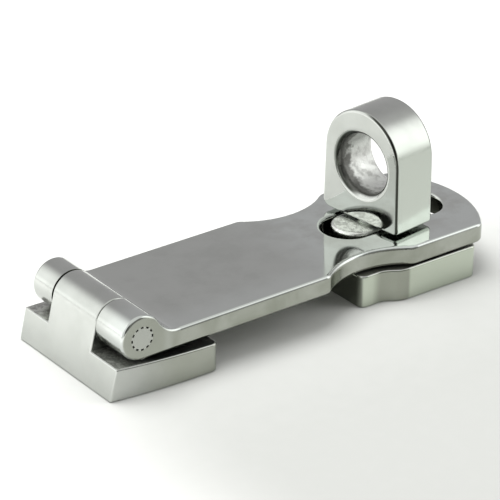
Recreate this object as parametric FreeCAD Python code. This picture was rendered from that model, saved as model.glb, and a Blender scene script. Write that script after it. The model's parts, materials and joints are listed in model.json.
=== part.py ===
"""Swivel-eye hasp and staple: a cast hinge base and leaf, and a staple base whose eye turns to lock.

Millimetres. +Z up, +X from the hinge towards the staple, +Y across.
The origin lies on the mounting face, under the hinge pin's axis, on the centreline.
"""

import FreeCAD, Part
import math
import os

V = FreeCAD.Vector

# ---- driving dimensions ----

# hinge line
PIN_Z = 10.4             # height of the pin's axis above the mounting face
PIN_R = 2.25
PIN_RECESS = 0.01        # the pin is ground flush with the ears
BARREL_R = 4.2
PIN_RUNNING_GAP = 0.05   # radial, pin in the centre knuckle
KNUCKLE_LOW_Y = -5.85    # the centre knuckle sits a little off the centreline
KNUCKLE_HIGH_Y = 7.45
KNUCKLE_GAP = 0.2        # between the centre knuckle and each ear
NOTCH_GAP = 0.55         # between the centre knuckle's barrel and the leaf behind it
KNURL_COUNT = 12
KNURL_R = 0.3            # each groove in the pin's pressed ends is a half round
KNURL_LENGTH = 5.5

# hinge base
FOOT_X = -6.7            # front foot, where the front face meets the mounting face
PLATE_END_X = 15.2
PLATE_TOP_FRONT = 6.05   # the plate thins a little towards its inner end
PLATE_TOP_BACK = 5.35
PLATE_FRONT_Y = (-13.6, 14.45)  # its front corners, off centre like the knuckle
PLATE_FLANK = (4.0, 14.85)
PLATE_BACK_HALF = 15.1
PLATE_CORNER_R = 1.3

# leaf
LEAF_TILT = 0.43         # degrees that the leaf rises towards its free end
LEAF_TOP = 9.9           # heights of its two faces, carried back to the hinge line
LEAF_BOTTOM = 6.13
LEAF_HALF = 13.8
LEAF_ROOT_R = 5.0        # hollow between the barrel and the leaf's top
KINK_X = 40.6            # where the straight sides turn into the waist
WAIST_X = 50.1
WAIST_HALF = 10.5
SHOULDER_X = 59.8        # where the waist ends in the spade
SPADE_HALF = 13.9
SPADE_CORNER_X = 76.0
LEAF_TIP_X = 81.5
LEAF_CORNERS = {KINK_X: 2.0, SHOULDER_X: 3.0, SPADE_CORNER_X: 2.2}
SLOT_X = 63.6
SLOT_HALF_LENGTH = 13.1
SLOT_HALF_WIDTH = 5.0

# staple base
EYE_X = 62.3             # swivel axis
BASE_TOP = 6.3
BASE_NECK_X = 49.3
BASE_NECK_HALF = 12.0
BASE_NECK_CORNER_R = 1.5
BASE_STEP = (53.2, 58.8)  # where each side steps out from the neck to full width
BASE_HALF = 13.9
BASE_CORNER_X = 74.9
BASE_CORNER_R = 1.5
BASE_TIP_X = 77.0
BOSS_TOP = 10.5
BOSS_HALF_LENGTH = 9.5
BOSS_HALF_WIDTH = 4.5
BOSS_EDGE = 0.7
RECESS_R = 6.2           # pocket in the underside for the spindle's end
RECESS_TOP = 3.2

# swivel eye
EYE_TURN = 6.9           # degrees that the eye stands turned past square
EYE_BOTTOM = 10.9
EYE_TOP = 32.6
EYE_CROWN_R = 9.1
EYE_HALF_FOOT = 9.4
EYE_SHIFT = 0.15         # the block stands this far to +Y of its hole
EYE_FRONT = 4.55         # from the swivel axis to the faces
EYE_BACK = 4.95
EYE_HOLE_Z = 22.1
EYE_HOLE_R = 5.8
EYE_LIP_R = 1.4
EYE_EDGE = 0.55
EYE_FOOT_EDGES = (0.7, 1.6)  # at the foot's -Y and +Y ends
SPINDLE_R = 3.5
SPINDLE_GAP = 0.05
SHOULDER_R = 3.8
SHOULDER_GAP = 0.05
PEEN_R = 4.7
PEEN_BOTTOM = 0.6
PEEN_TOP = 1.5

# washers on the spindle
WASHER_R = 5.8
WASHER_TOP = 2.3
SPRING_R = 5.7
SPRING_THICK = 0.4
SPRING_RISE = 0.45
WASHER_HOLE_GAP = 0.05

# screw holes, countersunk at 90 degrees for 4 mm screws
SCREW_R = 2.1
SCREW_HEAD_R = 3.9
HINGE_SCREW = (9.9, 8.6)
STAPLE_SCREW = (65.0, 9.3)

# hand-polished edge roundings
LEAF_EDGE = 0.7
BASE_EDGE = 0.35
FAR = 60.0               # past everything, for cuts that go right through


# ---- geometry helpers ----

def line(a, b):
    return Part.LineSegment(a, b).toShape()


def arc(a, middle, b):
    return Part.Arc(a, middle, b).toShape()


def prism(edges, along):
    """Solid swept from a closed flat outline."""
    return Part.Face(Part.Wire(edges)).extrude(along)


def box(low, high):
    size = high - low
    return Part.makeBox(size.x, size.y, size.z, low)


def y_cylinder(radius, low_y, high_y, x=0.0, z=PIN_Z):
    return Part.makeCylinder(radius, high_y - low_y, V(x, low_y, z), V(0, 1, 0))


def z_cylinder(radius, low_z, high_z, x=EYE_X, y=0.0):
    return Part.makeCylinder(radius, high_z - low_z, V(x, y, low_z))


def ring(profile, x=EYE_X):
    """Solid turned about the swivel axis from (radius, z) points."""
    points = [V(x + r, 0, z) for r, z in profile]
    return Part.Face(Part.makePolygon(points + points[:1])).revolve(V(x, 0, 0), V(0, 0, 1), 360)


def mirrored(points):
    """The same outline points on the other side of the centreline, in reverse order."""
    return [V(p.x, -p.y, p.z) for p in reversed(points)]


def near(a, b, slack=0.02):
    return abs(a - b) < slack


def rounded(shape, radius, chosen):
    """Rounds every edge whose bounding box chosen() picks."""
    return shape.makeFillet(radius, [e for e in shape.Edges if chosen(e.BoundBox)])


def upright(b, x=None):
    """An edge that stands along Z, at x if given."""
    return b.ZLength > 3 and b.XLength < 0.01 and b.YLength < 0.01 and (x is None or near(b.XMin, x))


def level(b, z):
    """An edge that lies flat at height z."""
    return near(b.ZMin, z) and near(b.ZMax, z)


def across(b, y):
    """An edge that lies in the plane of one y."""
    return near(b.YMin, y) and near(b.YMax, y)


def obround(x, half_length, half_width, low_z, high_z):
    """Long hole or boss along X with round ends."""
    reach = half_length - half_width
    a, b = V(x - reach, half_width, low_z), V(x + reach, half_width, low_z)
    c, d = V(x + reach, -half_width, low_z), V(x - reach, -half_width, low_z)
    right, left = V(x + half_length, 0, low_z), V(x - half_length, 0, low_z)
    return prism([line(a, b), arc(b, right, c), line(c, d), arc(d, left, a)], V(0, 0, high_z - low_z))


def step_points(a, b):
    """Five points of two equal arcs from a to b that both end along X."""
    slope = math.atan2(b.y - a.y, b.x - a.x)
    joint = (a + b) * 0.5
    radius = a.distanceToPoint(joint) / (2 * math.sin(slope))
    out, up = radius * math.sin(slope), radius * (1 - math.cos(slope))
    return [a, V(a.x + out, a.y + up, 0), joint, V(b.x - out, b.y - up, 0), b]


def countersunk_hole(x, y, top):
    depth = SCREW_HEAD_R - SCREW_R
    shank = z_cylinder(SCREW_R, -1, top + 1, x, y)
    cone = Part.makeCone(SCREW_R, SCREW_HEAD_R, depth, V(x, y, top - depth))
    mouth = z_cylinder(SCREW_HEAD_R, top, top + 2, x, y)
    return shank.fuse([cone, mouth])


# ---- hinge side ----

def front_face_top():
    """Where the sloping front face runs into the centre knuckle's barrel."""
    reach = math.hypot(FOOT_X, PIN_Z)
    lean = math.atan2(PIN_Z, -FOOT_X) + math.asin(BARREL_R / reach)
    run = math.sqrt(reach ** 2 - BARREL_R ** 2)
    return V(FOOT_X + run * math.cos(lean), 0, run * math.sin(lean))


def front_face_x(z):
    top = front_face_top()
    return FOOT_X + (top.x - FOOT_X) * z / top.z


def plate_top(x):
    """Height of the plate's top, which slopes down towards its inner end."""
    front_x = front_face_x(PLATE_TOP_FRONT)
    return PLATE_TOP_FRONT + (PLATE_TOP_BACK - PLATE_TOP_FRONT) * (x - front_x) / (PLATE_END_X - front_x)


def hinge_plate():
    side = [
        V(FOOT_X, -FAR, 0),
        V(front_face_x(PLATE_TOP_FRONT), -FAR, PLATE_TOP_FRONT),
        V(PLATE_END_X, -FAR, PLATE_TOP_BACK),
        V(PLATE_END_X, -FAR, 0),
    ]
    slab = Part.Face(Part.makePolygon(side + side[:1])).extrude(V(0, 2 * FAR, 0))
    slant = PLATE_CORNER_R * (1 - math.sqrt(0.5))
    high = [
        V(FOOT_X - 0.5, PLATE_FRONT_Y[1], 0),
        V(PLATE_FLANK[0], PLATE_FLANK[1], 0),
        V(PLATE_END_X - PLATE_CORNER_R, PLATE_BACK_HALF, 0),
        V(PLATE_END_X - slant, PLATE_BACK_HALF - slant, 0),
        V(PLATE_END_X, PLATE_BACK_HALF - PLATE_CORNER_R, 0),
    ]
    low = mirrored(high[1:]) + [V(FOOT_X - 0.5, PLATE_FRONT_Y[0], 0)]
    outline = [
        arc(high[0], high[1], high[2]),
        arc(high[2], high[3], high[4]),
        line(high[4], low[0]),
        arc(low[0], low[1], low[2]),
        arc(low[2], low[3], low[4]),
        line(low[4], high[0]),
    ]
    return slab.common(prism(outline, V(0, 0, LEAF_BOTTOM)))


def centre_knuckle():
    """Barrel whose front runs down in one flat face to the foot."""
    top = front_face_top()
    foot = V(FOOT_X, KNUCKLE_LOW_Y, 0)
    face_top = V(top.x, KNUCKLE_LOW_Y, top.z)
    crown = V(0, KNUCKLE_LOW_Y, PIN_Z + BARREL_R)
    back = V(BARREL_R, KNUCKLE_LOW_Y, PIN_Z)
    heel = V(BARREL_R, KNUCKLE_LOW_Y, 0)
    outline = [line(foot, face_top), arc(face_top, crown, back), line(back, heel), line(heel, foot)]
    return prism(outline, V(0, KNUCKLE_HIGH_Y - KNUCKLE_LOW_Y, 0))


def hinge_base():
    def outer_edge(b):
        knuckle_side = across(b, KNUCKLE_LOW_Y) or across(b, KNUCKLE_HIGH_Y)
        if knuckle_side:
            return b.ZMax > PLATE_TOP_FRONT + 1
        on_plate_top = b.ZMin > PLATE_TOP_BACK - 0.05 and b.ZMax < PLATE_TOP_FRONT + 0.05
        front_corner = b.ZLength > 3 and b.XMax < front_face_x(PLATE_TOP_FRONT) + 0.1
        knuckle_heel = near(b.XMin, BARREL_R)
        return level(b, 0) or front_corner or on_plate_top and not knuckle_heel

    body = rounded(hinge_plate().fuse(centre_knuckle()).removeSplitter(), BASE_EDGE, outer_edge)
    bore = y_cylinder(PIN_R + PIN_RUNNING_GAP, -FAR, FAR)
    x, y = HINGE_SCREW
    return body.cut([bore] + [countersunk_hole(x, side * y, plate_top(x)) for side in (-1, 1)])


def leaf_top(x):
    return LEAF_TOP + x * math.tan(math.radians(LEAF_TILT))


def leaf_bottom(x):
    return LEAF_BOTTOM + x * math.tan(math.radians(LEAF_TILT))


def leaf_plan():
    """Straight sides, a scooped waist and a spade with a bowed end, standing as a tall block."""
    high = [
        V(-FAR, LEAF_HALF, 0),
        V(KINK_X, LEAF_HALF, 0),
        V(WAIST_X, WAIST_HALF, 0),
        V(SHOULDER_X, SPADE_HALF, 0),
        V(SPADE_CORNER_X, SPADE_HALF, 0),
    ]
    low = mirrored(high)
    outline = [
        line(high[0], high[1]),
        arc(high[1], high[2], high[3]),
        line(high[3], high[4]),
        arc(high[4], V(LEAF_TIP_X, 0, 0), low[0]),
        line(low[0], low[1]),
        arc(low[1], low[2], low[3]),
        line(low[3], low[4]),
        line(low[4], high[0]),
    ]
    plan = prism(outline, V(0, 0, FAR))
    for x, radius in LEAF_CORNERS.items():
        plan = rounded(plan, radius, lambda b: upright(b, x))
    return plan


def root_centre():
    """Middle of the hollow that touches both the barrel and the leaf's top."""
    tilt = math.radians(LEAF_TILT)
    along, up = V(math.cos(tilt), 0, math.sin(tilt)), V(-math.sin(tilt), 0, math.cos(tilt))
    rise = LEAF_ROOT_R - (PIN_Z - LEAF_TOP) * math.cos(tilt)
    return V(0, -FAR, PIN_Z) + up * rise + along * math.sqrt((BARREL_R + LEAF_ROOT_R) ** 2 - rise ** 2), up


def leaf_slab():
    """Blade and hollow in side view, swept right across."""
    hub = V(0, -FAR, PIN_Z)
    centre, up = root_centre()
    on_leaf = centre - up * LEAF_ROOT_R
    on_barrel = hub + (centre - hub) * (BARREL_R / (BARREL_R + LEAF_ROOT_R))
    inward = (on_leaf + on_barrel) * 0.5 - centre
    middle = centre + inward * (LEAF_ROOT_R / inward.Length)
    top_end = V(2 * FAR, -FAR, leaf_top(2 * FAR))
    bottom_end = V(2 * FAR, -FAR, leaf_bottom(2 * FAR))
    start = V(0, -FAR, LEAF_BOTTOM)
    outline = [arc(on_barrel, middle, on_leaf)]
    corners = [on_leaf, top_end, bottom_end, start, hub, on_barrel]
    outline += [line(a, b) for a, b in zip(corners, corners[1:])]
    return prism(outline, V(0, 2 * FAR, 0))


def hasp_leaf():
    hollow_end_x = root_centre()[0].x

    def in_face(b, face):
        return near(b.ZMin, face(b.XMin)) and near(b.ZMax, face(b.XMax))

    def outer_edge(b):
        end_face = (across(b, -LEAF_HALF) or across(b, LEAF_HALF)) and b.XMax < hollow_end_x + 0.1
        return end_face or (in_face(b, leaf_top) or in_face(b, leaf_bottom)) and b.XMax > hollow_end_x + 0.1

    def slot_rim(b):
        within = b.XMin > SLOT_X - SLOT_HALF_LENGTH - 1 and b.XMax < SLOT_X + SLOT_HALF_LENGTH + 1
        return in_face(b, leaf_top) and within and abs(b.YMin + b.YMax) <= 2 * SLOT_HALF_WIDTH + 0.1

    side_view = leaf_slab().fuse(y_cylinder(BARREL_R, -FAR, FAR)).removeSplitter()
    body = rounded(side_view.common(leaf_plan()).removeSplitter(), LEAF_EDGE, outer_edge)
    low_y, high_y = KNUCKLE_LOW_Y - KNUCKLE_GAP, KNUCKLE_HIGH_Y + KNUCKLE_GAP
    notch = box(V(-FAR, low_y, 0), V(BARREL_R + NOTCH_GAP, high_y, FAR))
    body = body.cut([notch, obround(SLOT_X, SLOT_HALF_LENGTH, SLOT_HALF_WIDTH, 0, FAR)])
    body = rounded(body, LEAF_EDGE, slot_rim)
    return body.cut(y_cylinder(PIN_R, -FAR, FAR))


def hinge_pin():
    """Plain in the middle, grooved where its ends are pressed into the ears."""
    end = LEAF_HALF - PIN_RECESS
    grooves = []
    for i in range(KNURL_COUNT):
        turn = 2 * math.pi * i / KNURL_COUNT
        x, z = PIN_R * math.cos(turn), PIN_Z + PIN_R * math.sin(turn)
        grooves.append(y_cylinder(KNURL_R, end - KNURL_LENGTH, FAR, x, z))
        grooves.append(y_cylinder(KNURL_R, -FAR, KNURL_LENGTH - end, x, z))
    return y_cylinder(PIN_R, -end, end).cut(grooves)


# ---- staple side ----

def base_outline():
    slant = BASE_NECK_CORNER_R * (1 - math.sqrt(0.5))
    neck = [
        V(BASE_NECK_X, BASE_NECK_HALF - BASE_NECK_CORNER_R, 0),
        V(BASE_NECK_X + slant, BASE_NECK_HALF - slant, 0),
        V(BASE_NECK_X + BASE_NECK_CORNER_R, BASE_NECK_HALF, 0),
    ]
    step = step_points(V(BASE_STEP[0], BASE_NECK_HALF, 0), V(BASE_STEP[1], BASE_HALF, 0))
    high = neck + step + [V(BASE_CORNER_X, BASE_HALF, 0)]
    low = mirrored(high)
    edges = []
    for side, first in ((high, 0), (low, 1)):
        arcs = (0, 3, 5) if first == 0 else (1, 3, 6)
        lines = (2, 7) if first == 0 else (0, 5)
        edges += [arc(side[i], side[i + 1], side[i + 2]) for i in arcs]
        edges += [line(side[i], side[i + 1]) for i in lines]
    edges.append(arc(high[-1], V(BASE_TIP_X, 0, 0), low[0]))
    edges.append(line(low[-1], high[0]))
    return Part.__sortEdges__(edges)


def staple_base():
    plate = prism(base_outline(), V(0, 0, BASE_TOP))
    plate = rounded(plate, BASE_CORNER_R, lambda b: upright(b, BASE_CORNER_X))
    plate = rounded(plate, BASE_EDGE, lambda b: level(b, BASE_TOP) or level(b, 0))
    boss = obround(EYE_X, BOSS_HALF_LENGTH, BOSS_HALF_WIDTH, RECESS_TOP, BOSS_TOP)
    boss = rounded(boss, BOSS_EDGE, lambda b: level(b, BOSS_TOP))
    body = plate.fuse(boss)
    x, y = STAPLE_SCREW
    holes = [countersunk_hole(x, side * y, BASE_TOP) for side in (-1, 1)]
    return body.cut([z_cylinder(RECESS_R, -1, RECESS_TOP), z_cylinder(SPINDLE_R + SPINDLE_GAP, -1, FAR)] + holes)


def eye_block():
    """D-shaped block built square on: its sides lean in a little and run smoothly into the round crown."""
    crown_z = EYE_TOP - EYE_CROWN_R
    height = crown_z - EYE_BOTTOM
    lean = math.acos(EYE_CROWN_R / math.hypot(EYE_HALF_FOOT, height)) - math.atan2(height, EYE_HALF_FOOT)
    side_y, side_z = EYE_CROWN_R * math.cos(lean), crown_z + EYE_CROWN_R * math.sin(lean)
    x, mid_y = -EYE_FRONT, EYE_SHIFT
    foot_low, foot_high = V(x, mid_y - EYE_HALF_FOOT, EYE_BOTTOM), V(x, mid_y + EYE_HALF_FOOT, EYE_BOTTOM)
    side_low, side_high = V(x, mid_y - side_y, side_z), V(x, mid_y + side_y, side_z)
    crown = arc(side_high, V(x, mid_y, EYE_TOP), side_low)
    outline = [line(foot_low, foot_high), line(foot_high, side_high), crown, line(side_low, foot_low)]
    block = prism(outline, V(EYE_FRONT + EYE_BACK, 0, 0))
    for y, radius in zip((foot_low.y, foot_high.y), EYE_FOOT_EDGES):
        block = rounded(block, radius, lambda b: b.XLength > 1 and across(b, y))
    block = rounded(block, EYE_EDGE, lambda b: b.XLength < 0.01)
    hole = Part.makeCylinder(EYE_HOLE_R, 2 * FAR, V(-FAR, 0, EYE_HOLE_Z), V(1, 0, 0))
    block = block.cut(hole)
    return rounded(block, EYE_LIP_R, lambda b: b.XLength < 0.01 and near(b.ZMax, EYE_HOLE_Z + EYE_HOLE_R, 0.1))


def swivel_eye():
    """Eye block with its spindle, which is peened over the washers in the staple base's recess."""
    block = eye_block()
    shank = z_cylinder(SPINDLE_R, PEEN_BOTTOM, EYE_BOTTOM + 1, 0)
    shoulder = z_cylinder(SHOULDER_R, BOSS_TOP + SHOULDER_GAP, EYE_BOTTOM + 1, 0)
    peen = z_cylinder(PEEN_R, PEEN_BOTTOM, PEEN_TOP, 0)
    peen = rounded(peen, (PEEN_TOP - PEEN_BOTTOM) / 2, lambda b: level(b, PEEN_BOTTOM))
    eye = block.fuse([shank, shoulder, peen]).removeSplitter()
    eye.rotate(V(0, 0, 0), V(0, 0, 1), EYE_TURN)
    eye.translate(V(EYE_X, 0, 0))
    return eye


def retaining_washer():
    hole = SPINDLE_R + WASHER_HOLE_GAP
    return ring([(hole, PEEN_TOP), (WASHER_R, PEEN_TOP), (WASHER_R, WASHER_TOP), (hole, WASHER_TOP)])


def disc_spring():
    """Coned spring washer that holds the eye down on the boss."""
    hole = SPRING_R - 2
    high = WASHER_TOP + SPRING_RISE
    return ring([(hole, high), (SPRING_R, WASHER_TOP), (SPRING_R, WASHER_TOP + SPRING_THICK),
                 (hole, high + SPRING_THICK)])


PIECES = (hinge_base, hasp_leaf, hinge_pin, staple_base, swivel_eye, retaining_washer, disc_spring)

os.makedirs("parts", exist_ok=True)
for make in PIECES:
    make().exportStep("parts/" + make.__name__ + ".step")
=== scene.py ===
"""Swivel-eye hasp and staple in hand-polished cast stainless steel, closed and locked on a pale floor."""

import bpy
import json
import math
from mathutils import Matrix, Vector


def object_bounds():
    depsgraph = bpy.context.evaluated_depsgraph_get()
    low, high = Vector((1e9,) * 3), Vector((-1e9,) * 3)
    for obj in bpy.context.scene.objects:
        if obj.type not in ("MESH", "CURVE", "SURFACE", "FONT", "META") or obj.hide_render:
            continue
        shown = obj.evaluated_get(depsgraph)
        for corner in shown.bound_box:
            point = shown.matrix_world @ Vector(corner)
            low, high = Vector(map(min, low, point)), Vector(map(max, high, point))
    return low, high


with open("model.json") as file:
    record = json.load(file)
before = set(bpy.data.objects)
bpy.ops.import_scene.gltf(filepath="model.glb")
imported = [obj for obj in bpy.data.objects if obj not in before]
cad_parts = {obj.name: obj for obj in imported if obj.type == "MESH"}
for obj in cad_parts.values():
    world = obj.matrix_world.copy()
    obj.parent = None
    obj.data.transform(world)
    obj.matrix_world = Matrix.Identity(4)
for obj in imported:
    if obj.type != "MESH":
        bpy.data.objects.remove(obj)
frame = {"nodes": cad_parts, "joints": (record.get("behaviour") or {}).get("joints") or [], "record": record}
CAD_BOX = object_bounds()

MM = 0.001               # millimetres in the metres of the frame
NODES = frame["nodes"]
MOUNTS = {m["name"]: m for m in frame["record"]["mounts"]}
JOINTS = {j["name"]: j for j in frame["joints"]}

# ---- view ----
VIEW_YAW = 52.67         # degrees from +X towards +Y
VIEW_PITCH = 26.58       # degrees down
VIEW_ROLL = -0.77
VIEW_DISTANCE = 0.481
VIEW_AIM = (0.0327, -0.0005, 0.0122)
LENS = 194.2             # mm on a 36 mm sensor

# ---- backdrop paper, graded with painted light and shade so that the polished steel has something to mirror ----
FLOOR_HALF = 1.5
# the front shade is painted shade; the back and left shades are painted light, palest at the left
FLOOR_FRONT_PAINTED_SHADE = (0.42, 0.425, 0.41, 1.0)
FLOOR_BACK = (0.66, 0.665, 0.65, 1.0)
FLOOR_LEFT = (0.92, 0.92, 0.91, 1.0)
FLOOR_FAR = (0.42, 0.42, 0.41, 1.0)
FLOOR_BACK_Y = (-0.045, 0.045)    # where the paper turns from its front to its back shade
FLOOR_LEFT_X = (-0.055, 0.005)    # left of this it has its left shade
FLOOR_FAR_REACH = (0.155, 0.27)   # along the view past the object, where its far shade starts
FLOOR_FIBRES = 300.0              # per metre
FIBRE_SHADE = 0.03

# ---- lamps, azimuths from +X towards +Y ----
LAMP_DISTANCE = 0.5
KEY_AZIMUTH = 115.0
KEY_ELEVATION = 76.0
KEY_SIZE = 0.35
KEY_POWER = 2.9
FILL_AZIMUTH = -38.0
FILL_ELEVATION = 27.0
FILL_SIZE = 0.28
FILL_POWER = 0.75

# ---- light tent, radiance by direction ----
# An EDGE holds the cosines of the angles from the azimuth at which that stretch of wall starts and is whole.
# A HEIGHT holds the sines of two elevations.
TENT_PLAIN = (1.02, 1.03, 1.01, 1.0)
TENT_LIT = (1.85, 1.87, 1.84, 1.0)      # the left and right stretches have lamps behind them
TENT_LEFT_HIGH = (1.55, 1.565, 1.54, 1.0)
LEFT_AZIMUTH = 130.0
LEFT_EDGE = (0.6, 0.85)
LEFT_HEIGHT = (0.08, 0.26)              # from the foot's radiance to that of TENT_LEFT_HIGH
RIGHT_AZIMUTH = -32.0
RIGHT_EDGE = (0.75, 0.92)
TENT_PANEL = (0.52, 0.512, 0.52, 1.0)   # grey panel behind the object
PANEL_AZIMUTH = 50.0
PANEL_EDGE = (0.2, 0.85)
TENT_FRONT = (0.25, 0.25, 0.24, 1.0)
FRONT_AZIMUTH = -92.0
FRONT_EDGE = (0.55, 0.85)
TENT_LOW = (1.02, 1.02, 0.99, 1.0)      # foot of the wall at the right
LOW_AZIMUTH = -35.0
LOW_EDGE = (0.5, 0.85)
LOW_HEIGHT = (-0.02, 0.20)
TENT_CEILING = (0.90, 0.91, 0.89, 1.0)
CEILING_HEIGHT = (0.68, 0.85)
OPENING = (0.05, 0.05, 0.05, 1.0)       # round hole in the front of the tent, towards the view given above
OPENING_EDGE = (0.955, 0.975)


# ---- node helpers ----

class Tree:
    """Short way to build a shader node tree."""

    def __init__(self, owner):
        owner.use_nodes = True
        self.tree = owner.node_tree
        self.tree.nodes.clear()

    def node(self, kind, settings=None, **inputs):
        """A node with its settings, and inputs by name ('_' for a space) or i0, i1 by place."""
        n = self.tree.nodes.new(kind)
        for key, value in (settings or {}).items():
            setattr(n, key, value)
        for key, value in inputs.items():
            socket = n.inputs[int(key[1:])] if key[1:].isdigit() else n.inputs[key.replace("_", " ")]
            if isinstance(value, bpy.types.NodeSocket):
                self.tree.links.new(value, socket)
            else:
                socket.default_value = value
        return n

    def math(self, operation, a, b=0.0, clamp=False):
        settings = {"operation": operation, "use_clamp": clamp}
        return self.node("ShaderNodeMath", settings, i0=a, i1=b).outputs[0]

    def vector_math(self, operation, a, b=(0.0, 0.0, 0.0), out="Vector"):
        return self.node("ShaderNodeVectorMath", {"operation": operation}, i0=a, i1=b).outputs[out]

    def noise(self, position, scale, detail=2.0, roughness=0.5, distortion=0.0):
        return self.node("ShaderNodeTexNoise", None, Vector=position, Scale=scale, Detail=detail,
                         Roughness=roughness, Distortion=distortion).outputs["Fac"]

    def ramp(self, value, low, high, out_low=0.0, out_high=1.0):
        """Smooth step of value from low..high to out_low..out_high."""
        settings = {"interpolation_type": "SMOOTHSTEP"}
        return self.node("ShaderNodeMapRange", settings, Value=value, From_Min=low, From_Max=high,
                         To_Min=out_low, To_Max=out_high).outputs[0]

    def fade(self, value, low, high):
        """1 below low, 0 above high."""
        return self.ramp(value, low, high, 1.0, 0.0)

    def both(self, a, b):
        """Mask that is 1 where two masks are."""
        return self.math("MULTIPLY", a, b)

    def mix(self, factor, a, b):
        """Mix of two colours."""
        return self.node("ShaderNodeMix", {"data_type": "RGBA"}, i0=factor, i6=a, i7=b).outputs[2]

    def blend(self, factor, a, b):
        """Mix of two numbers."""
        return self.node("ShaderNodeMix", {"data_type": "FLOAT"}, i0=factor, i2=a, i3=b).outputs[0]


def rgb(r, g, b):
    return (r, g, b, 1.0)


# ---- materials ----

STEEL = rgb(0.525, 0.54, 0.515)
STEEL_DULL = rgb(0.475, 0.49, 0.465)
# painted sheen of bright overhead light on the leaf's top
PAINTED_SHEEN_STEEL = rgb(0.625, 0.655, 0.635)
# darker steel: painted shade and painted floor reflection on the sides, and the darker tone of the pin's
# turned rings
SIDE_SHADE_AND_RING_STEEL = rgb(0.45, 0.465, 0.42)
# deeper painted shade on the sides
DEEP_SIDE_SHADE_STEEL = rgb(0.33, 0.345, 0.295)
# painted reflection of the greenish floor on the staple's flank
PAINTED_FLOOR_REFLECTION_STEEL = rgb(0.555, 0.60, 0.51)
STEEL_SHADED = rgb(0.24, 0.255, 0.215)
# painted highlight on the eye's rim
PAINTED_HIGHLIGHT_STEEL = rgb(0.645, 0.685, 0.63)
CAST_SKIN = rgb(0.58, 0.59, 0.56)
CAST_SKIN_DARK = rgb(0.32, 0.32, 0.305)
CAST_SKIN_SHADED = rgb(0.05, 0.052, 0.047)
BORE_SKIN = rgb(0.73, 0.74, 0.715)
BORE_SKIN_DARK = rgb(0.54, 0.545, 0.525)
# painted shade at the mouth of the bore
BORE_MOUTH_PAINTED_SHADE = rgb(0.17, 0.17, 0.16)
SATIN = rgb(0.86, 0.885, 0.84)
ROLLED_STEEL = rgb(0.40, 0.40, 0.41)
# painted dark reflection along the eye's edges
PAINTED_DARK_EDGE_REFLECTION = rgb(0.055, 0.06, 0.05)
# painted shade in the knurl grooves
KNURL_PAINTED_SHADE = rgb(0.03, 0.03, 0.028)

# roughness where the cloudy rubbing is least and most
MIRROR = (0.05, 0.12)
STAPLE_POLISH = (0.10, 0.18)
SATIN_POLISH = (0.13, 0.22)
CROWN_POLISH = (0.15, 0.24)

# feature sizes, per metre
CLOUDS = 160.0
GRAIN = 1100.0
WAVES = 90.0
BLOTCHES = 110.0
BORE_GRAIN = 480.0
RUB = (700.0, 90.0, 700.0)         # hairlines run along Y
STREAKS = (60.0, 900.0, 60.0)
RINGS = 22000.0                    # radians per metre of the pin's radius

# depth of each relief, in metres
WAVE_DEPTH = 0.00006
HAIRLINE_DEPTH = 0.000001
SKIN_DEPTH = 0.0001

# places along the parts
PLATE_TOP_Z = 6.3 * MM             # the hinge base's plate is lower than this, its knuckle higher
STAPLE_TOP_Z = 7.0 * MM
BOSS_Z = (9.2 * MM, 9.9 * MM)
EAR_X = (4.0 * MM, 7.0 * MM)       # where the leaf's ears end
UNDER_LEAF_X = (-1.0 * MM, 3.0 * MM)
SPADE_X = (38.0 * MM, 52.0 * MM)
HOLLOW_START_X = (51.5 * MM, 54.0 * MM)    # band of painted shade where the staple's flank is hollow
HOLLOW_END_X = (58.6 * MM, 59.4 * MM)
KNURL_INNER_R = (1.85 * MM, 2.0 * MM)
KNURL_COUNT = 12.0


class Surface:
    """Shared ground of every steel piece: hand-polished, a little wavy and finely rubbed."""

    def __init__(self, name):
        self.material = bpy.data.materials.new(name)
        self.t = Tree(self.material)
        coordinates = self.t.node("ShaderNodeTexCoord").outputs
        self.position, self.normal = coordinates["Object"], coordinates["Normal"]
        self.x, self.y, self.z = self.t.node("ShaderNodeSeparateXYZ", None, Vector=self.position).outputs
        facing = self.t.node("ShaderNodeSeparateXYZ", None, Vector=self.normal).outputs
        self.facing_along, self.facing_across, self.facing_up = facing
        self.cloud = self.t.noise(self.position, CLOUDS, 3.0, 0.6)
        self.grain = self.t.noise(self.position, GRAIN, 4.0, 0.65)
        self.colour = self.t.mix(self.t.ramp(self.cloud, 0.35, 0.75), STEEL, STEEL_DULL)
        self.roughness = self.polish(MIRROR)
        self.relief = None

    def polish(self, roughness):
        """Roughness that follows the clouds between two values."""
        return self.t.ramp(self.cloud, 0.3, 0.8, *roughness)

    def flank(self, low, high):
        """Mask of the faces that look along +Y or -Y."""
        return self.t.ramp(self.t.math("ABSOLUTE", self.facing_across), low, high)

    def lay(self, mask, colour=None, roughness=None, relief=0.0):
        """Another finish where mask is 1."""
        if colour is not None:
            self.colour = self.t.mix(mask, self.colour, colour)
        if roughness is not None:
            self.roughness = self.t.blend(mask, self.roughness, roughness)
        if relief:
            part = self.t.math("MULTIPLY", self.t.both(mask, self.grain), relief)
            self.relief = part if self.relief is None else self.t.math("ADD", self.relief, part)

    def bump(self, height, depth, below=None):
        """Relief of a height map, on top of the relief below it."""
        node = self.t.node("ShaderNodeBump", None, Strength=1.0, Distance=depth, Height=height)
        if below is not None:
            self.t.tree.links.new(below, node.inputs["Normal"])
        return node.outputs[0]

    def finish(self):
        t = self.t
        rub = t.node("ShaderNodeMapping", None, Vector=self.position, Scale=RUB).outputs[0]
        normal = self.bump(t.noise(self.position, WAVES, 1.0), WAVE_DEPTH)
        normal = self.bump(t.noise(rub, 6.0, 4.0, 0.7), HAIRLINE_DEPTH, normal)
        if self.relief is not None:
            normal = self.bump(self.relief, SKIN_DEPTH, normal)
        shader = t.node("ShaderNodeBsdfPrincipled", None, Base_Color=self.colour, Roughness=self.roughness,
                        Metallic=1.0, Normal=normal)
        t.node("ShaderNodeOutputMaterial", None, Surface=shader.outputs[0])
        return self.material


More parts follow.
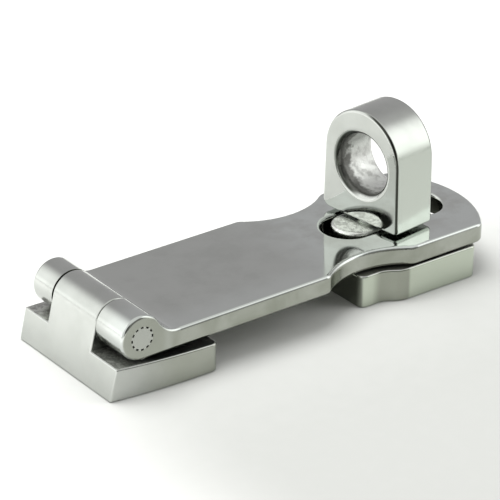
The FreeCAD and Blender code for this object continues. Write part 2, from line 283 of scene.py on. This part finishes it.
def hinge_base_steel():
    """Satin knuckle and front, sides darkened with painted shade, and the cast skin left on the plate's top,
    black with painted shade under the leaf.
    """
    s = Surface("hinge_base_steel")
    t = s.t
    s.lay(1.0, roughness=s.polish(SATIN_POLISH))
    # painted shade on the hinge base's sides
    flank = t.both(s.flank(0.5, 0.9), t.ramp(s.x, -4.0 * MM, 8.0 * MM))
    s.lay(flank, t.mix(s.cloud, SIDE_SHADE_AND_RING_STEEL, DEEP_SIDE_SHADE_STEEL))
    top = t.both(t.ramp(s.facing_up, 0.93, 0.98), t.fade(s.z, PLATE_TOP_Z, PLATE_TOP_Z + 0.3 * MM))
    s.lay(top, t.mix(t.ramp(s.grain, 0.4, 0.62), CAST_SKIN, CAST_SKIN_DARK), 0.4, 0.5)
    # painted shade, near black, on the plate's top under the leaf
    s.lay(t.both(top, t.ramp(s.x, *UNDER_LEAF_X)), CAST_SKIN_SHADED)
    return s.finish()


def leaf_steel():
    """Mirror top with a painted sheen over the spade and towards the near edge, satin barrel and sides, the
    sides and ear ends darkened with painted shade.
    """
    s = Surface("leaf_steel")
    t = s.t
    # painted sheen over the spade, and a fainter one towards the leaf's near edge
    clouded_x = t.math("ADD", s.x, t.math("MULTIPLY", s.cloud, 8.0 * MM))
    s.lay(t.ramp(clouded_x, *SPADE_X), t.mix(t.ramp(s.cloud, 0.35, 0.7), PAINTED_SHEEN_STEEL, STEEL))
    s.lay(t.ramp(s.y, -13.0 * MM, -5.0 * MM, 0.6, 0.0), PAINTED_SHEEN_STEEL)
    not_top = t.fade(s.facing_up, 0.3, 0.6)
    s.lay(not_top, roughness=s.polish(SATIN_POLISH))
    # painted shade, in blotches, on the leaf's sides past the ears, and on the ears' ends
    blotch = t.ramp(t.noise(s.position, BLOTCHES, 3.0, 0.55, 0.6), 0.35, 0.7)
    s.lay(t.both(not_top, t.ramp(s.x, *EAR_X)), t.mix(blotch, SIDE_SHADE_AND_RING_STEEL, DEEP_SIDE_SHADE_STEEL))
    ear_end = t.both(s.flank(0.7, 0.95), t.fade(s.x, *EAR_X))
    s.lay(ear_end, t.mix(s.cloud, SIDE_SHADE_AND_RING_STEEL, DEEP_SIDE_SHADE_STEEL))
    return s.finish()


def eye_steel():
    """Mirror faces, satin sides and crown with a painted highlight below the crown, a painted dark reflection
    along the edges, and a hole that keeps its rough, mottled skin, with painted shade near its mouth.
    """
    s = Surface("eye_steel")
    t = s.t
    hole = MOUNTS["padlock_hole"]
    axis = tuple(hole["axis"])
    bore_r = hole["dims"]["r_mm"] * MM
    offset = t.vector_math("SUBTRACT", s.position, tuple(hole["pos_m"]))
    radius = t.vector_math("LENGTH", t.vector_math("CROSS_PRODUCT", offset, axis), out="Value")
    depth = t.vector_math("DOT_PRODUCT", offset, axis, out="Value")
    turn = t.math("ABSOLUTE", t.vector_math("DOT_PRODUCT", s.normal, axis, out="Value"))

    rim = t.fade(turn, 0.15, 0.4)
    s.lay(rim, roughness=s.polish(CROWN_POLISH))
    # painted highlight on the rim below the top of the crown
    s.lay(t.both(rim, t.fade(s.facing_up, 0.25, 0.8)), PAINTED_HIGHLIGHT_STEEL)
    # painted dark reflection along the rounded edges on the near side
    dark_reflection_band = t.both(t.ramp(turn, 0.2, 0.38), t.fade(turn, 0.84, 0.97))
    s.lay(t.both(dark_reflection_band, t.fade(s.facing_across, -0.35, -0.1)), PAINTED_DARK_EDGE_REFLECTION)

    ragged_radius = t.math("ADD", radius, t.math("MULTIPLY", s.grain, 0.5 * MM))
    inside = t.fade(ragged_radius, bore_r + 0.3 * MM, bore_r + 0.8 * MM)
    skin = t.noise(s.position, BORE_GRAIN, 4.0, 0.6)
    ragged_depth = t.math("ADD", depth, t.math("MULTIPLY", skin, 7.0 * MM))
    # painted shade near the mouth of the bore, the mottled skin deeper in
    mouth = t.fade(ragged_depth, 0.4 * MM, 2.2 * MM)
    bore = t.mix(t.ramp(skin, 0.5, 0.68), BORE_SKIN, BORE_SKIN_DARK)
    s.lay(inside, t.mix(mouth, bore, BORE_MOUTH_PAINTED_SHADE), t.ramp(skin, 0.3, 0.7, 0.3, 0.5), 1.0)
    return s.finish()


def staple_steel():
    """Flank with a painted floor reflection and a band of painted shade where it is hollow, painted shade on
    the faces that look along -X, cast skin under the leaf and a filed, rough boss.
    """
    s = Surface("staple_steel")
    t = s.t
    s.lay(1.0, roughness=s.polish(STAPLE_POLISH))
    hollow = t.both(t.ramp(s.x, *HOLLOW_START_X), t.fade(s.x, *HOLLOW_END_X))
    flank = s.flank(0.5, 0.9)
    # painted floor reflection on the flank
    s.lay(flank, PAINTED_FLOOR_REFLECTION_STEEL)
    # painted shade in a band where the flank is hollow
    s.lay(t.both(hollow, flank), DEEP_SIDE_SHADE_STEEL)
    s.lay(t.fade(s.facing_along, -0.8, -0.5), STEEL_SHADED)
    base_top = t.both(t.ramp(s.facing_up, 0.9, 0.98), t.fade(s.z, STAPLE_TOP_Z, STAPLE_TOP_Z + 1.0 * MM))
    s.lay(base_top, CAST_SKIN_DARK, 0.4, 0.5)
    filed = t.mix(t.ramp(s.grain, 0.45, 0.6), SATIN, CAST_SKIN)
    s.lay(t.ramp(s.z, *BOSS_Z), filed, t.ramp(s.grain, 0.35, 0.65, 0.2, 0.4), 0.9)
    return s.finish()


def pin_steel():
    """Turned end with fine rings, and knurl grooves blackened with painted shade."""
    s = Surface("pin_steel")
    t = s.t
    up = t.math("SUBTRACT", s.z, JOINTS["leaf_hinge"]["pos_m"][2])
    radius = t.math("SQRT", t.math("ADD", t.math("MULTIPLY", s.x, s.x), t.math("MULTIPLY", up, up)))
    rings = t.math("SINE", t.math("MULTIPLY", radius, RINGS))
    s.lay(1.0, t.mix(t.ramp(rings, -1.0, 1.0), SIDE_SHADE_AND_RING_STEEL, STEEL), 0.22)
    turn = t.math("ARCTAN2", up, s.x)
    groove = t.ramp(t.math("COSINE", t.math("MULTIPLY", turn, KNURL_COUNT)), -0.2, 0.2)
    # painted shade, black, in the knurl grooves
    s.lay(t.both(groove, t.ramp(radius, *KNURL_INNER_R)), KNURL_PAINTED_SHADE, 0.8)
    return s.finish()


def washer_steel():
    """Rolled strip, dull and faintly streaked."""
    s = Surface("washer_steel")
    t = s.t
    streaks = t.node("ShaderNodeMapping", None, Vector=s.position, Scale=STREAKS).outputs[0]
    s.lay(1.0, t.mix(t.noise(streaks, 5.0, 3.0), ROLLED_STEEL, STEEL_DULL), 0.32, 0.2)
    return s.finish()


def floor_material():
    """Backdrop paper with painted shade in front and painted light behind and at the left, where it is
    palest.
    """
    material = bpy.data.materials.new("floor")
    t = Tree(material)
    position = t.node("ShaderNodeTexCoord").outputs["Object"]
    x, y, _ = t.node("ShaderNodeSeparateXYZ", None, Vector=position).outputs
    yaw = math.radians(VIEW_YAW)
    offset = t.vector_math("SUBTRACT", position, (VIEW_AIM[0], VIEW_AIM[1], 0.0))
    along = t.vector_math("DOT_PRODUCT", offset, (math.cos(yaw), math.sin(yaw), 0.0), out="Value")
    fibres = t.ramp(t.noise(position, FLOOR_FIBRES, 2.0), 0.0, 1.0, -FIBRE_SHADE, FIBRE_SHADE)
    # painted shade in front, painted light behind and at the left, and a darker far part
    back = t.math("ADD", t.ramp(y, *FLOOR_BACK_Y), fibres, clamp=True)
    colour = t.mix(back, FLOOR_FRONT_PAINTED_SHADE, FLOOR_BACK)
    colour = t.mix(t.fade(x, *FLOOR_LEFT_X), colour, FLOOR_LEFT)
    colour = t.mix(t.ramp(along, *FLOOR_FAR_REACH), colour, FLOOR_FAR)
    shader = t.node("ShaderNodeBsdfPrincipled", None, Base_Color=colour, Roughness=0.9)
    t.node("ShaderNodeOutputMaterial", None, Surface=shader.outputs[0])
    return material


def dress(node, material):
    mesh = NODES[node].data
    mesh.materials.clear()
    mesh.materials.append(material)


# ---- stage ----

def view_axes():
    """Unit vectors of the view: forward, right and up, with the roll taken in."""
    yaw, pitch, roll = (math.radians(a) for a in (VIEW_YAW, VIEW_PITCH, VIEW_ROLL))
    forward = Vector((math.cos(pitch) * math.cos(yaw), math.cos(pitch) * math.sin(yaw), -math.sin(pitch)))
    level = forward.cross(Vector((0, 0, 1))).normalized()
    down = forward.cross(level)
    right = level * math.cos(roll) + down * math.sin(roll)
    up = level * math.sin(roll) - down * math.cos(roll)
    return forward, right, up


def add_camera():
    forward, right, up = view_axes()
    camera = bpy.data.objects.new("camera", bpy.data.cameras.new("camera"))
    camera.data.lens = LENS
    camera.data.clip_start = 0.01
    place = Vector(VIEW_AIM) - forward * VIEW_DISTANCE
    camera.matrix_world = Matrix.Translation(place) @ Matrix((right, up, -forward)).transposed().to_4x4()
    bpy.context.scene.collection.objects.link(camera)
    bpy.context.scene.camera = camera


def add_floor():
    corners = [(x * FLOOR_HALF, y * FLOOR_HALF, 0) for x, y in ((-1, -1), (1, -1), (1, 1), (-1, 1))]
    mesh = bpy.data.meshes.new("floor")
    mesh.from_pydata(corners, [], [(0, 1, 2, 3)])
    floor = bpy.data.objects.new("floor", mesh)
    floor.data.materials.append(floor_material())
    bpy.context.scene.collection.objects.link(floor)


def add_softbox(name, azimuth, elevation, size, power):
    """Square area light that faces the object."""
    a, e = math.radians(azimuth), math.radians(elevation)
    aim = Vector((CAD_BOX[0][0] + CAD_BOX[1][0], 0, 0)) * 0.5
    away = Vector((math.cos(e) * math.cos(a), math.cos(e) * math.sin(a), math.sin(e)))
    light = bpy.data.lights.new(name, "AREA")
    light.shape = "SQUARE"
    light.size = size
    light.energy = power
    lamp = bpy.data.objects.new(name, light)
    lamp.location = aim + away * LAMP_DISTANCE
    lamp.rotation_euler = away.to_track_quat("Z", "Y").to_euler()
    lamp.visible_glossy = False      # the polished faces mirror the tent, not the lamps
    bpy.context.scene.collection.objects.link(lamp)


def add_world():
    """A light tent whose walls differ by direction, with a softer ceiling and a round opening in front."""
    world = bpy.data.worlds.new("tent")
    bpy.context.scene.world = world
    t = Tree(world)
    direction = t.node("ShaderNodeTexCoord").outputs["Generated"]
    height = t.node("ShaderNodeSeparateXYZ", None, Vector=direction).outputs["Z"]
    level = t.vector_math("NORMALIZE", t.vector_math("MULTIPLY", direction, (1.0, 1.0, 0.0)))

    def towards(azimuth, edge):
        """1 in the part of the wall round this azimuth, fading between the two cosines of edge."""
        a = math.radians(azimuth)
        cosine = t.vector_math("DOT_PRODUCT", level, (math.cos(a), math.sin(a), 0.0), out="Value")
        return t.ramp(cosine, *edge)

    left_wall = t.mix(t.ramp(height, *LEFT_HEIGHT), TENT_LIT, TENT_LEFT_HIGH)
    wall = t.mix(towards(LEFT_AZIMUTH, LEFT_EDGE), TENT_PLAIN, left_wall)
    wall = t.mix(towards(RIGHT_AZIMUTH, RIGHT_EDGE), wall, TENT_LIT)
    wall = t.mix(towards(PANEL_AZIMUTH, PANEL_EDGE), wall, TENT_PANEL)
    wall = t.mix(towards(FRONT_AZIMUTH, FRONT_EDGE), wall, TENT_FRONT)
    low = t.both(towards(LOW_AZIMUTH, LOW_EDGE), t.fade(height, *LOW_HEIGHT))
    wall = t.mix(low, wall, TENT_LOW)
    tent = t.mix(t.ramp(height, *CEILING_HEIGHT), wall, TENT_CEILING)
    opening = t.vector_math("DOT_PRODUCT", direction, tuple(-view_axes()[0]), out="Value")
    colour = t.mix(t.ramp(opening, *OPENING_EDGE), tent, OPENING)
    shader = t.node("ShaderNodeBackground", None, Color=colour, Strength=1.0)
    t.node("ShaderNodeOutputWorld", None, Surface=shader.outputs[0])


dress("hinge_base", hinge_base_steel())
dress("hasp_leaf", leaf_steel())
dress("swivel_eye", eye_steel())
dress("staple_base", staple_steel())
dress("hinge_pin", pin_steel())
washers = washer_steel()
dress("retaining_washer", washers)
dress("disc_spring", washers)

add_camera()
add_floor()
add_world()
add_softbox("key", KEY_AZIMUTH, KEY_ELEVATION, KEY_SIZE, KEY_POWER)
add_softbox("fill", FILL_AZIMUTH, FILL_ELEVATION, FILL_SIZE, FILL_POWER)
bpy.context.scene.view_settings.view_transform = "Standard"
